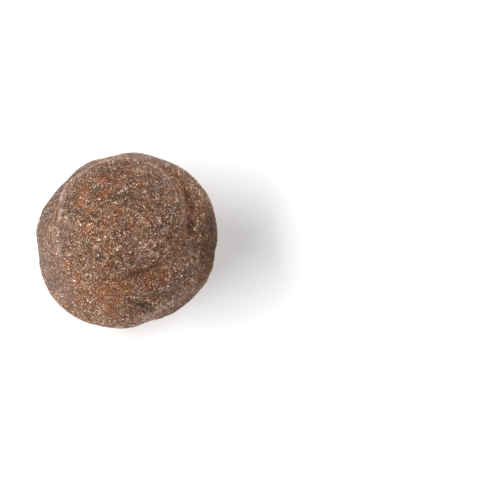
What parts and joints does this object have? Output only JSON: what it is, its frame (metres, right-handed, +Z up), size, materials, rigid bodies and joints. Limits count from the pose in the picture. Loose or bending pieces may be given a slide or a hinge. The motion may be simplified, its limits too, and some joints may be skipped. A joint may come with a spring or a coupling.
{
  "type": "moqui marble",
  "caption": "Rounded natural concretion of iron-bound sandstone: a low domed cap on a wider belly, with a small flat rest spot. A loose stone to hold, collect or display.",
  "frame": {"origin": "in the plane of the rest spot, under the middle of the stone's box", "axes": "+Z up from the rest spot through the cap, +X to the right across the stone's widest way, +Y to the back, where the cap comes nearest to the belly's edge"},
  "size_m": [0.032, 0.0314, 0.026],
  "materials": {
    "stone": "rough"
  },
  "bodies": {
    "root": {"moqui_marble": "stone"}
  },
  "joints": []
}
